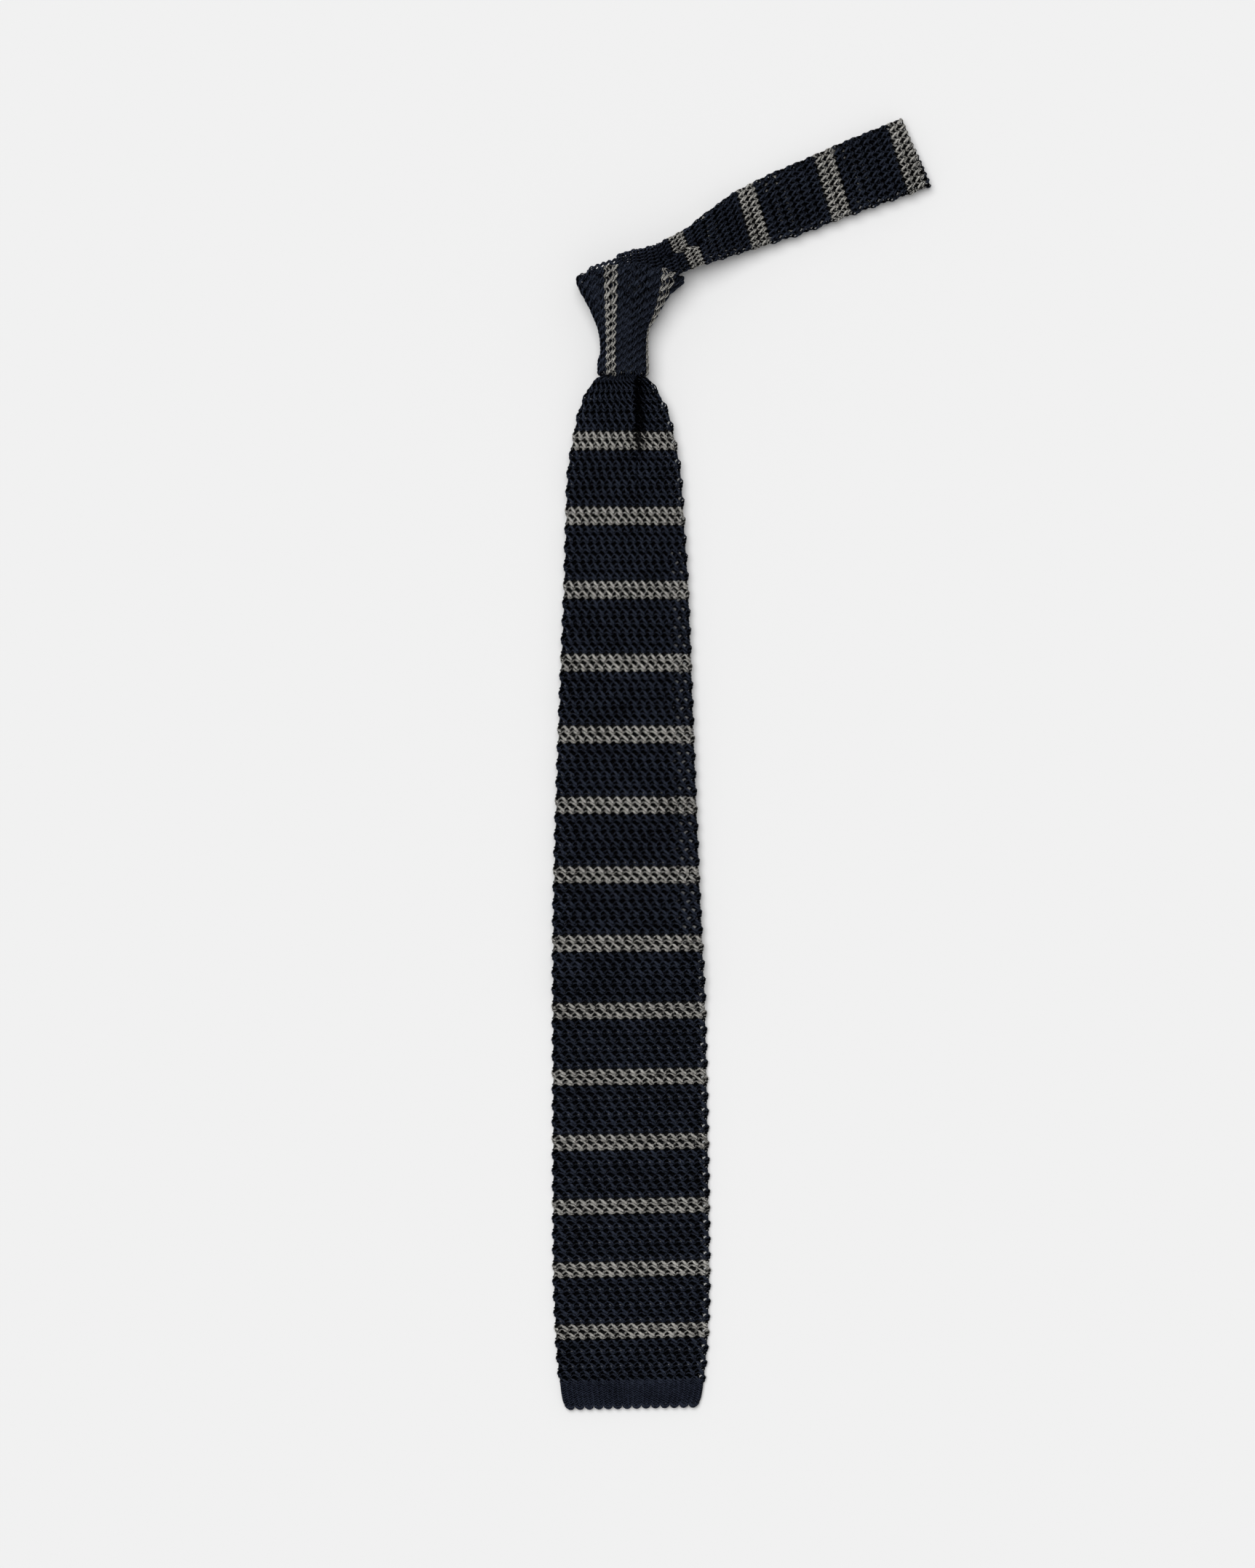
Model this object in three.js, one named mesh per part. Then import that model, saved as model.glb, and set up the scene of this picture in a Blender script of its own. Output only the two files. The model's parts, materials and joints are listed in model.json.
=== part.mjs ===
// A square-ended knit necktie, knotted and laid flat: the front blade comes down out of the
// knot, the narrow blade lies under it, and the neck band is pressed flat and folded back.
// Millimetres. The blades run along Y, X is to the right, and the table is the plane z = 0.
import * as THREE from 'three';

// Front blade, measured down from the lower edge of the knot
const bladeWidth = 60;
const bladeLength = 389;
const endBandHeight = 10.5;

// Narrow blade, under the front one
const tailWidth = 39.5;
const tailLength = 223;
const tailBandHeight = 9;

// Hem scallops of both end bands
const scallopPitch = 3.6;
const scallopDepth = 1.5;

// Knot
const knotHeight = 41;
const knotTopWidth = 42.6;
const knotDepth = 17;
const wrapWall = 2.4;

// Neck band, from the knot to the fold where it turns back
const neckLength = 96;
const neckWidth = 29;
const neckAngle = THREE.MathUtils.degToRad(23.5);
const foldGap = 0.5;

// Knitted tube: two layers of cloth with air between them
const cloth = 1.2;
const tubeAir = 0.4;
const gatheredAir = 1.8;
const clearance = 0.3;

// How finely the tubes are lofted
const crossSteps = 8;
const neckCrossSteps = 6;
const lyingSteps = 6;
const rampSteps = 4;
const overTailSteps = 9;
const tongueSteps = 6;
const turnSteps = 6;
const tailSteps = [4, 7, 3];
const neckSteps = 11;
const sleeveSteps = 12;
const pointsPerScallop = 3;

// Sizes that follow from the ones above
const tube = 2 * cloth + tubeAir;
const gatheredTube = 2 * cloth + gatheredAir;
const lying = tube / 2;
const overTail = lying + tube + clearance;
const tailInKnot = wrapWall + 2 * clearance + tube / 2;
const neckGathered = 0.288 * knotDepth;
const tailEnd = bladeLength - tailLength;
const rampTop = tailEnd - scallopDepth - 2 * clearance;
const rampFoot = rampTop - 9 * tube;
const knotShift = -0.053 * bladeWidth;
const tailCentre = -0.06 * bladeWidth;
const edgeDroop = 0.2 * tube;

// Widths and shifts are shares of the blade's width, lifts shares of the way up to the knot
const bladeShape = table(
  ['along', 'width', 'shift', 'lean', 'middleLift', 'edgeLift', 'dimple'],
  [
    [0.0000, 0.220, -0.053, 0.00, 1.00, 1.00, 0.0],
    [0.0012, 0.222, -0.053, 0.00, 1.00, 1.00, 0.0],
    [0.0040, 0.345, -0.056, 0.00, 1.04, 0.70, 0.1],
    [0.0134, 0.452, -0.057, 0.00, 1.05, 0.40, 0.6],
    [0.0366, 0.584, -0.050, 0.00, 0.90, 0.20, 1.0],
    [0.0619, 0.658, -0.047, 0.00, 0.65, 0.10, 0.7],
    [0.0971, 0.731, -0.045, 0.00, 0.36, 0.04, 0.3],
    [0.1436, 0.762, -0.040, 0.00, 0.12, 0.00, 0.0],
    [0.2210, 0.804, -0.034, 0.00, 0.00, 0.00, 0.0],
    [0.3430, 0.865, -0.035, 0.00, 0.00, 0.00, 0.0],
    [0.4790, 0.927, -0.032, 0.00, 0.00, 0.00, 0.0],
    [0.6220, 0.979, -0.014, 0.01, 0.00, 0.00, 0.0],
    [0.8660, 1.000, 0.000, 0.02, 0.00, 0.00, 0.0],
    [0.9270, 0.977, 0.003, 0.02, 0.00, 0.00, 0.0],
    [1.0000, 0.912, 0.002, 0.02, 0.00, 0.00, 0.0],
  ],
);

// The blade inside the knot, up to where it turns over the top: shares of the knot's height
// and top width
const tongueShape = table(
  ['along', 'width', 'shift', 'lean'],
  [
    [0.00, 0.26, 0.00, 0.00],
    [0.30, 0.22, 0.01, 0.00],
    [0.60, 0.27, -0.04, 0.10],
    [0.88, 0.31, -0.165, 0.31],
  ],
);

// The wrapped front and back of the knot: shares of its height, top width and depth
const sleeveShape = table(
  ['along', 'width', 'shift', 'depth'],
  [
    [0.000, 0.460, 0.000, 0.79],
    [0.094, 0.457, 0.000, 0.80],
    [0.194, 0.428, 0.010, 0.79],
    [0.307, 0.431, 0.008, 0.80],
    [0.421, 0.463, 0.005, 0.83],
    [0.541, 0.570, 0.017, 0.87],
    [0.635, 0.650, 0.021, 0.90],
    [0.708, 0.724, 0.023, 0.93],
    [0.795, 0.814, 0.026, 0.96],
    [0.855, 0.914, 0.050, 0.98],
    [0.902, 1.000, 0.078, 1.00],
  ],
);
const sleeveSquareness = 3.2;
const sleeveBackDrop = 0.082;
const sleeveFrontArch = 0.098;

// The neck band away from its fold: shares of its length and width
const neckShape = table(
  ['along', 'width', 'shift', 'lift'],
  [
    [0.00, 0.985, 0.020, 0.00],
    [0.23, 0.958, 0.050, 0.00],
    [0.43, 0.920, 0.064, 0.00],
    [0.54, 0.910, 0.074, 0.00],
    [0.63, 0.861, 0.082, 0.10],
    [0.71, 0.820, 0.083, 0.22],
    [0.80, 0.717, 0.066, 0.45],
    [0.86, 0.658, 0.052, 0.62],
    [0.93, 0.566, 0.028, 0.85],
    [1.00, 0.515, 0.020, 1.00],
  ],
);
const tuckShape = table(
  ['along', 'width', 'shift'],
  [
    [0.00, 0.515, 0.020],
    [0.35, 0.480, 0.020],
    [0.65, 0.430, 0.070],
    [1.00, 0.350, 0.165],
  ],
);
const neckUnderInset = 0.1;
const neckRootAcross = 0.54;
const neckRootUp = 0.113;

// The narrow blade, measured down from the knot's lower edge: shares of its width, and of the
// way up from the table to its place in the knot
const tailShape = table(
  ['along', 'width', 'lift'],
  [
    [0.00, 0.24, 1.0],
    [0.02, 0.30, 0.4],
    [0.04, 0.45, 0.2],
    [0.08, 0.66, 0.1],
    [0.16, 0.88, 0.0],
    [0.30, 0.96, 0.0],
    [1.00, 1.00, 0.0],
  ],
);
const tailInKnotReach = 0.62;

// Both end bands, from their upper edge down to the hem: shares of height and width
const endBandTaper = table(['along', 'width'], [[0, 0.912], [0.6, 0.885], [1, 0.835]]);
const tailBandTaper = table(['along', 'width'], [[0, 1.0], [0.6, 0.985], [1, 0.94]]);

const navyYarn = { color: 0x141a2c, roughness: 0.78, metalness: 0 };
const shadedYarn = { color: 0x10151f, roughness: 0.85, metalness: 0 };

function table(columns, rows) {
  return rows.map((row) => Object.fromEntries(columns.map((name, i) => [name, row[i]])));
}

// Smooth value of one column at a place along the table, without overshoot
function read(rows, column, along) {
  const last = rows.length - 1;
  const place = THREE.MathUtils.clamp(along, rows[0].along, rows[last].along);
  let k = 0;
  while (k < last - 1 && rows[k + 1].along < place) k += 1;
  const slopeOf = (i) => (rows[i + 1][column] - rows[i][column]) / (rows[i + 1].along - rows[i].along);
  const tangent = (i) => {
    if (i === 0 || i === last) return 0;
    const before = slopeOf(i - 1);
    const after = slopeOf(i);
    return before * after <= 0 ? 0 : (2 * before * after) / (before + after);
  };
  const span = rows[k + 1].along - rows[k].along;
  const t = (place - rows[k].along) / span;
  const t2 = t * t;
  const t3 = t2 * t;
  return (2 * t3 - 3 * t2 + 1) * rows[k][column]
    + (t3 - 2 * t2 + t) * span * tangent(k)
    + (3 * t2 - 2 * t3) * rows[k + 1][column]
    + (t3 - t2) * span * tangent(k + 1);
}

// Outline of a flattened tube: along its top face, round a side fold, back along the under
// face and round the other side fold. heightAt bends the whole outline up or down.
function tubeOutline(width, thickness, foldRadius, heightAt, steps) {
  const flat = Math.max(width / 2 - foldRadius, 0.1);
  const half = thickness / 2;
  const foldPoints = 3;
  const outline = [];
  for (let i = 0; i <= steps; i += 1) {
    const across = -flat + (2 * flat * i) / steps;
    outline.push([across, heightAt(across) + half]);
  }
  for (let i = 1; i <= foldPoints - 1; i += 1) {
    const turn = Math.PI / 2 - (Math.PI * i) / foldPoints;
    outline.push([flat + half * Math.cos(turn), heightAt(flat) + half * Math.sin(turn)]);
  }
  for (let i = steps; i >= 0; i -= 1) {
    const across = -flat + (2 * flat * i) / steps;
    outline.push([across, heightAt(across) - half]);
  }
  for (let i = 1; i <= foldPoints - 1; i += 1) {
    const turn = Math.PI / 2 - (Math.PI * i) / foldPoints;
    outline.push([-flat - half * Math.cos(turn), heightAt(-flat) - half * Math.sin(turn)]);
  }
  return outline;
}

// One station of a hollow tube: its outer and inner rings, set across the path at a point
function tubeStation({ at, across, up, width, thickness, heightAt = () => 0, steps = crossSteps, shear }) {
  const place = ([side, height]) => {
    const point = at.clone().addScaledVector(across, side).addScaledVector(up, height);
    if (shear) point.y += shear(side);
    return point;
  };
  const foldRadius = thickness / 2;
  const air = thickness - 2 * cloth;
  return {
    outer: tubeOutline(width, thickness, foldRadius, heightAt, steps).map(place),
    inner: tubeOutline(width, air, foldRadius, heightAt, steps).map(place),
  };
}

// Closed solid with a hole along it, lofted through stations of outer and inner rings
function loft(stations) {
  const count = stations[0].outer.length;
  const points = stations.flatMap((station) => [...station.outer, ...station.inner]);
  const outer = (k, j) => 2 * k * count + (j % count);
  const inner = (k, j) => outer(k, j) + count;
  const faces = [];
  const quad = (a, b, c, d) => faces.push([a, b, c], [a, c, d]);
  const last = stations.length - 1;
  for (let j = 0; j < count; j += 1) {
    for (let k = 0; k < last; k += 1) {
      quad(outer(k, j), outer(k, j + 1), outer(k + 1, j + 1), outer(k + 1, j));
      quad(inner(k, j), inner(k + 1, j), inner(k + 1, j + 1), inner(k, j + 1));
    }
    quad(outer(0, j), inner(0, j), inner(0, j + 1), outer(0, j + 1));
    quad(outer(last, j), outer(last, j + 1), inner(last, j + 1), inner(last, j));
  }
  return solid(points, faces);
}

// Geometry of a closed shell, turned right side out
function solid(points, faces) {
  const volume = faces.reduce((sum, [a, b, c]) => {
    const normal = new THREE.Vector3().crossVectors(points[b], points[c]);
    return sum + points[a].dot(normal) / 6;
  }, 0);
  const wound = volume > 0 ? faces : faces.map(([a, b, c]) => [a, c, b]);
  const geometry = new THREE.BufferGeometry().setFromPoints(points);
  geometry.setIndex(wound.flat());
  geometry.computeVertexNormals();
  return geometry;
}

const mix = (a, b, share) => a + (b - a) * share;
const sideways = new THREE.Vector3(1, 0, 0);
const upright = new THREE.Vector3(0, 0, 1);

// Section of the knot's sleeve at a share of the knot's height
function sleeveSection(along) {
  const row = (column) => read(sleeveShape, column, along);
  return {
    centre: knotShift + row('shift') * knotTopWidth,
    halfWidth: (row('width') * knotTopWidth) / 2,
    halfDepth: (row('depth') * knotDepth) / 2,
  };
}

// Highest place of a tube's mid-surface under the front wall of the sleeve
function underSleeveFront(along, x, thickness) {
  const { centre, halfWidth, halfDepth } = sleeveSection(along);
  const share = Math.min(Math.abs(x - centre) / (halfWidth - wrapWall), 0.97);
  const room = (1 - share ** sleeveSquareness) ** (1 / sleeveSquareness);
  return halfDepth + (halfDepth - wrapWall) * room - 2 * clearance - thickness / 2;
}

function frontBladeStation(y) {
  const along = (bladeLength - y) / bladeLength;
  const row = (column) => read(bladeShape, column, along);
  const width = row('width') * bladeWidth;
  const over = THREE.MathUtils.smoothstep(y, rampFoot, rampTop);
  const level = mix(lying, overTail, over);
  const tongueLevel = underSleeveFront(0, knotShift, gatheredTube);
  const middle = mix(level, tongueLevel, row('middleLift'));
  const edge = mix(level - edgeDroop * over, tongueLevel, row('edgeLift'));
  const pressed = THREE.MathUtils.smoothstep(along, 0.002, 0.03);
  const thickness = mix(gatheredTube, tube, pressed);
  const flare = 1 - THREE.MathUtils.smoothstep(along, 0.1, 0.2);
  const dimple = row('dimple') * 0.11 * knotDepth;
  const dimplePlace = 0.10 * bladeWidth;
  const dimpleReach = 0.055 * bladeWidth;
  const roundness = mix(5, 2.2, flare);
  const heightAt = (side) => {
    const crown = (middle - edge) * (1 - Math.abs((2 * side) / width) ** roundness);
    const fold = dimple * Math.exp(-(((side - dimplePlace) / dimpleReach) ** 2));
    return edge - middle + crown - fold;
  };
  return tubeStation({
    at: new THREE.Vector3(row('shift') * bladeWidth, y, middle),
    across: sideways,
    up: upright,
    width,
    thickness,
    heightAt,
    shear: (side) => row('lean') * side,
  });
}

function tongueStation(along) {
  const row = (column) => read(tongueShape, column, along);
  const centre = knotShift + row('shift') * knotTopWidth;
  const level = underSleeveFront(along, centre, gatheredTube);
  return tubeStation({
    at: new THREE.Vector3(centre, bladeLength + along * knotHeight, level),
    across: sideways,
    up: upright,
    width: row('width') * knotTopWidth,
    thickness: gatheredTube,
    heightAt: (side) => Math.min(underSleeveFront(along, centre + side, gatheredTube) - level, 0),
    shear: (side) => row('lean') * side,
  });
}

// The blade turns over the top of the knot in a half circle and ends behind it
function overTheTopStation(turn) {
  const top = tongueShape[tongueShape.length - 1];
  const x = knotShift + top.shift * knotTopWidth;
  const frontLevel = underSleeveFront(top.along, x, gatheredTube);
  const radius = (frontLevel - lying) / 2;
  const centre = new THREE.Vector3(x, bladeLength + top.along * knotHeight, lying + radius);
  const up = new THREE.Vector3(0, Math.sin(turn), Math.cos(turn));
  const front = Math.max(Math.cos(turn), 0);
  const heightAt = (side) => {
    const bend = underSleeveFront(top.along, x + side, gatheredTube) - frontLevel;
    return front * Math.min(bend, 0);
  };
  return tubeStation({
    at: centre.clone().addScaledVector(up, radius),
    across: sideways,
    up,
    width: top.width * knotTopWidth,
    thickness: mix(gatheredTube, tube, turn / Math.PI),
    heightAt,
    shear: (side) => top.lean * side,
  });
}

function frontBlade() {
  const stations = [];
  const hemJoin = endBandHeight + clearance;
  const shoulders = [0.0366, 0.025, 0.0134, 0.0085, 0.004, 0.0018].map((s) => bladeLength * (1 - s));
  const shoulderFoot = shoulders[0];
  const stretches = [
    [hemJoin, rampFoot, lyingSteps],
    [rampFoot, rampTop, rampSteps],
    [rampTop, shoulderFoot, overTailSteps],
  ];
  stretches.forEach(([from, to, steps]) => {
    for (let i = 0; i < steps; i += 1) stations.push(frontBladeStation(mix(from, to, i / steps)));
  });
  shoulders.forEach((y) => stations.push(frontBladeStation(y)));
  const tongueTop = tongueShape[tongueShape.length - 1].along;
  for (let i = 0; i < tongueSteps; i += 1) {
    stations.push(tongueStation((tongueTop * i) / tongueSteps));
  }
  for (let i = 0; i <= turnSteps; i += 1) {
    stations.push(overTheTopStation((Math.PI * i) / turnSteps));
  }
  return loft(stations);
}

// Ring of the knot's sleeve: a soft squarish oval with a flat underside on the table
function sleeveRing(centre, y, halfWidth, halfDepth, middle, floor, edgeLine) {
  const points = [];
  const count = 28;
  const power = 2 / sleeveSquareness;
  for (let i = 0; i < count; i += 1) {
    const turn = (2 * Math.PI * i) / count;
    const c = Math.cos(turn);
    const s = Math.sin(turn);
    const x = halfWidth * Math.sign(c) * Math.abs(c) ** power;
    const z = Math.max(middle + halfDepth * Math.sign(s) * Math.abs(s) ** power, floor);
    points.push(new THREE.Vector3(centre + x, y + edgeLine(x / halfWidth, z), z));
  }
  return points;
}

function knotWrap() {
  const stations = [];
  const topAlong = sleeveShape[sleeveShape.length - 1].along;
  for (let i = 0; i <= sleeveSteps; i += 1) {
    const along = (topAlong * i) / sleeveSteps;
    const { centre, halfWidth, halfDepth } = sleeveSection(along);
    const y = bladeLength + along * knotHeight;
    const nearTop = THREE.MathUtils.smoothstep(along, topAlong - 0.35, topAlong);
    const edgeLine = (side, z) => {
      const front = THREE.MathUtils.smoothstep(z, 0.3 * knotDepth, 0.9 * knotDepth);
      const arch = sleeveFrontArch * front * (1 - side * side);
      return (arch - sleeveBackDrop * (1 - front)) * knotHeight * nearTop;
    };
    stations.push({
      outer: sleeveRing(centre, y, halfWidth, halfDepth, halfDepth, 0, edgeLine),
      inner: sleeveRing(centre, y, halfWidth - wrapWall, halfDepth - wrapWall, halfDepth, wrapWall, edgeLine),
    });
  }
  return loft(stations);
}

function tailStation(y) {
  const along = Math.max((bladeLength - clearance - y) / tailLength, 0);
  const width = read(tailShape, 'width', along) * tailWidth;
  const lift = read(tailShape, 'lift', along);
  const inKnot = THREE.MathUtils.smoothstep(along, 0, 0.16);
  return tubeStation({
    at: new THREE.Vector3(mix(knotShift, tailCentre, inKnot), y, mix(lying, tailInKnot, lift)),
    across: sideways,
    up: upright,
    width,
    thickness: tube,
    steps: 4,
  });
}

function narrowBlade() {
  const stations = [];
  const stretches = [
    [tailEnd + tailBandHeight + clearance, bladeLength - 0.2 * tailLength, tailSteps[0]],
    [bladeLength - 0.2 * tailLength, bladeLength - clearance, tailSteps[1]],
    [bladeLength - clearance, bladeLength + tailInKnotReach * knotHeight, tailSteps[2]],
  ];
  stretches.forEach(([from, to, steps], part) => {
    const closing = part === stretches.length - 1 ? 1 : 0;
    for (let i = 0; i < steps + closing; i += 1) stations.push(tailStation(mix(from, to, i / steps)));
  });
  return loft(stations);
}

// Tightly knitted cuff at the end of a blade, with a scalloped hem
function endBand({ centre, hem, height, width, taper, lean }) {
  const scallops = Math.round(width / scallopPitch);
  const steps = scallops * pointsPerScallop;
  const stations = taper.map((row) => {
    const ringWidth = row.width * width;
    const flat = ringWidth / 2 - tube / 2;
    const reach = (side) => {
      const place = THREE.MathUtils.clamp((side + flat) / (2 * flat), 0, 1) * scallops;
      return Math.abs(Math.sin(Math.PI * place)) * scallopDepth;
    };
    const top = hem + height;
    const y = mix(top, hem + scallopDepth, row.along);
    return tubeStation({
      at: new THREE.Vector3(centre, y, lying),
      across: sideways,
      up: upright,
      width: ringWidth,
      thickness: tube,
      steps,
      shear: (side) => lean * side - (row.along === 1 ? reach(side) : 0),
    });
  });
  return loft(stations);
}

// The neck band runs out along its angle, folds down in a half circle and comes back under
const neckOut = new THREE.Vector3(Math.cos(neckAngle), Math.sin(neckAngle), 0);
const neckAcross = new THREE.Vector3(-Math.sin(neckAngle), Math.cos(neckAngle), 0);
const foldRadiusMid = (tube + foldGap) / 2;
const neckRoot = new THREE.Vector3(
  knotShift + neckRootAcross * knotTopWidth,
  bladeLength + (1 + neckRootUp) * knotHeight,
  0,
);
const neckRunLength = neckLength - foldRadiusMid - tube / 2;

// Inside the knot the band ends just beside the blade that turns over the top
const turned = tongueShape[tongueShape.length - 1];
const turnedSide = knotShift + (turned.shift + turned.width / 2) * knotTopWidth;
const tuckEnd = tuckShape[tuckShape.length - 1];
const tuckDrift = tuckEnd.shift * neckWidth * Math.sin(neckAngle);
const neckTuck = (neckRoot.x - tuckDrift - turnedSide - 3 * clearance) / Math.cos(neckAngle);

function neckStation(run, layer) {
  const inKnot = run < 0;
  const shape = inKnot ? tuckShape : neckShape;
  const along = inKnot ? -run / neckTuck : 1 - run / neckRunLength;
  const width = read(shape, 'width', along) * neckWidth;
  const shift = read(shape, 'shift', along) * neckWidth;
  const lift = inKnot ? 1 : read(shape, 'lift', along);
  const thickness = mix(tube, neckGathered, lift);
  const underside = (wrapWall + 2 * clearance) * lift;
  const isUnder = layer === 'under';
  const height = underside + thickness / 2 + (isUnder ? 0 : thickness + foldGap);
  const folded = inKnot ? 1 : THREE.MathUtils.smoothstep(along, 0, 0.15);
  const inset = isUnder ? neckUnderInset * neckWidth * folded : 0;
  const heading = inKnot ? neckAngle * (1 - along) : neckAngle;
  const across = new THREE.Vector3(-Math.sin(heading), Math.cos(heading), 0);
  const at = neckRoot.clone()
    .addScaledVector(neckOut, run)
    .addScaledVector(neckAcross, shift)
    .addScaledVector(across, inset / 2)
    .addScaledVector(upright, height);
  return tubeStation({
    at,
    across,
    up: isUnder ? upright.clone().negate() : upright,
    width: width - inset,
    thickness,
    steps: neckCrossSteps,
  });
}

function neckFoldStation(turn) {
  const start = neckShape[0];
  const centre = neckRoot.clone()
    .addScaledVector(neckOut, neckRunLength)
    .addScaledVector(neckAcross, start.shift * neckWidth)
    .addScaledVector(upright, lying + foldRadiusMid);
  const up = upright.clone().multiplyScalar(Math.cos(turn)).addScaledVector(neckOut, Math.sin(turn));
  return tubeStation({
    at: centre.clone().addScaledVector(up, foldRadiusMid),
    across: neckAcross,
    up,
    width: start.width * neckWidth,
    thickness: tube,
    steps: neckCrossSteps,
  });
}

function neckBand() {
  const stations = [];
  const tuckSteps = 4;
  for (let i = tuckSteps; i > 0; i -= 1) stations.push(neckStation((-neckTuck * i) / tuckSteps, 'upper'));
  for (let i = 0; i < neckSteps; i += 1) stations.push(neckStation((neckRunLength * i) / neckSteps, 'upper'));
  for (let i = 0; i <= turnSteps; i += 1) stations.push(neckFoldStation((Math.PI * i) / turnSteps));
  for (let i = neckSteps - 1; i >= 0; i -= 1) {
    stations.push(neckStation((neckRunLength * i) / neckSteps, 'under'));
  }
  for (let i = 1; i <= tuckSteps; i += 1) stations.push(neckStation((-neckTuck * i) / tuckSteps, 'under'));
  return loft(stations);
}

function piece(name, geometry, finish) {
  const mesh = new THREE.Mesh(geometry, new THREE.MeshStandardMaterial(finish));
  mesh.name = name;
  return mesh;
}

const frontEndBand = endBand({
  centre: 0,
  hem: 0,
  height: endBandHeight,
  width: bladeWidth,
  taper: endBandTaper,
  lean: 0.02,
});
const narrowEndBand = endBand({
  centre: tailCentre,
  hem: tailEnd,
  height: tailBandHeight,
  width: tailWidth,
  taper: tailBandTaper,
  lean: 0,
});

const tie = new THREE.Group();
tie.add(
  piece('front_blade', frontBlade(), navyYarn),
  piece('front_end_band', frontEndBand, navyYarn),
  piece('knot_wrap', knotWrap(), shadedYarn),
  piece('neck_band', neckBand(), navyYarn),
  piece('narrow_blade', narrowBlade(), shadedYarn),
  piece('narrow_end_band', narrowEndBand, shadedYarn),
);

// The origin goes to the middle of the outline, on the table
const extent = new THREE.Box3().setFromObject(tie);
const middle = extent.getCenter(new THREE.Vector3());
tie.position.set(-middle.x, -middle.y, -extent.min.z);

export default tie;
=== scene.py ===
# A square-ended knit necktie, knotted and laid flat on a pale table. Every yarn is modelled: a
# stitch is drawn once as a path, repeated into flat knitted cloth, and the cloth is then laid on
# the forms of the blades, the knot and the neck band. Forms are in millimetres, the scene in metres.
import json
import math

import bpy
import numpy as np
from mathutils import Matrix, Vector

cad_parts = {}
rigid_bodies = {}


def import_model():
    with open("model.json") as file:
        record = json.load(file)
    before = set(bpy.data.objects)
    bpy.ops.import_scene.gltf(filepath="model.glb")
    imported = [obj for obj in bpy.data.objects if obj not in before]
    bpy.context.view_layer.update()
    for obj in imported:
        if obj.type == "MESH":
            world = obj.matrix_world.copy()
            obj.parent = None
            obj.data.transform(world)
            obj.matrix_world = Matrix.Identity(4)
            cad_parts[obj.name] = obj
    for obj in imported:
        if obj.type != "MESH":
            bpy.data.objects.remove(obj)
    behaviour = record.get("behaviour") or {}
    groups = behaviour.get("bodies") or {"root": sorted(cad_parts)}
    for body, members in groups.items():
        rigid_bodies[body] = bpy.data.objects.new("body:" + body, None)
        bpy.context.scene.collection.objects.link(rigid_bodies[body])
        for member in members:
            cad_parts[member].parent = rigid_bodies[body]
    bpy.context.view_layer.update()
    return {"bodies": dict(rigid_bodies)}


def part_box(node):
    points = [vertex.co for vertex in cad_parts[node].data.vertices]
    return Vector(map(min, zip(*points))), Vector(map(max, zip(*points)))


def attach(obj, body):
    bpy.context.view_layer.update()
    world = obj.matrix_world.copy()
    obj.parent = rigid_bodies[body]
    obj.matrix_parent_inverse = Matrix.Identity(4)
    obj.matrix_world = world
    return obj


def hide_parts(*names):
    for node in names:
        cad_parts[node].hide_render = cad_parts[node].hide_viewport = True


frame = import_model()
bpy.ops.object.select_all(action="DESELECT")

MM = 0.001

# Sizes of the tie, as in the solids
BLADE_WIDTH = 60.0
BLADE_LENGTH = 389.0
END_BAND_HEIGHT = 10.5
TAIL_WIDTH = 39.5
TAIL_LENGTH = 223.0
TAIL_BAND_HEIGHT = 9.0
SCALLOP_DEPTH = 1.5
KNOT_HEIGHT = 41.0
KNOT_TOP_WIDTH = 42.6
KNOT_DEPTH = 17.0
WRAP_WALL = 2.4
NECK_LENGTH = 96.0
NECK_WIDTH = 29.0
NECK_ANGLE = math.radians(23.5)
FOLD_GAP = 0.5
TUBE = 2.8
GATHERED_TUBE = 4.2
CLEARANCE = 0.3
LYING = TUBE / 2
OVER_TAIL = LYING + TUBE + CLEARANCE
TAIL_IN_KNOT = WRAP_WALL + 2 * CLEARANCE + TUBE / 2
NECK_GATHERED = 0.288 * KNOT_DEPTH
TAIL_END = BLADE_LENGTH - TAIL_LENGTH
RAMP_TOP = TAIL_END - SCALLOP_DEPTH - 2 * CLEARANCE
RAMP_FOOT = RAMP_TOP - 9 * TUBE
KNOT_SHIFT = -0.053 * BLADE_WIDTH
TAIL_CENTRE = -0.06 * BLADE_WIDTH
EDGE_DROOP = 0.2 * TUBE

# The cuff of the narrow blade says where the solids' origin lies from the hem of the front blade
low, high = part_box("narrow_end_band")
ORIGIN = (
    (low[0] + high[0]) / 2 / MM - TAIL_CENTRE,
    high[1] / MM - (TAIL_END + TAIL_BAND_HEIGHT),
)

# Knit: a wale is one column of stitches, a course is one row
WALE = 3.6
COURSE = 3.26
BLADE_WALES = 31
TAIL_WALES = 22
NECK_WALES = 22
TURNED_WALES = 12
TURNED_COURSE = 2.9
STRIPE_REPEAT = 8
SIDE_STEP = 0.06 * WALE
STITCH_LIFT = 0.42
LAYER_INSET = 0.72
INNER_INSET = 1.75

# Finer knit of the two cuffs
CUFF_WALE = 1.9
CUFF_COURSE = 0.88
FRONT_CUFF_WALES = 56
FRONT_CUFF_COURSES = 11
TAIL_CUFF_WALES = 41
TAIL_CUFF_COURSES = 9
FRONT_HEM_LOOPS = 28
TAIL_HEM_LOOPS = 20
HEM_HEIGHT = 2.0
HEM_GAP = 0.1
CUFF_LIFT = 0.2
FRONT_CUFF_LEAN = 0.02


def table(columns, rows):
    """Named columns of a table of sections or of points."""
    return dict(zip(columns.split(), np.array(rows, float).T))


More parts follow.
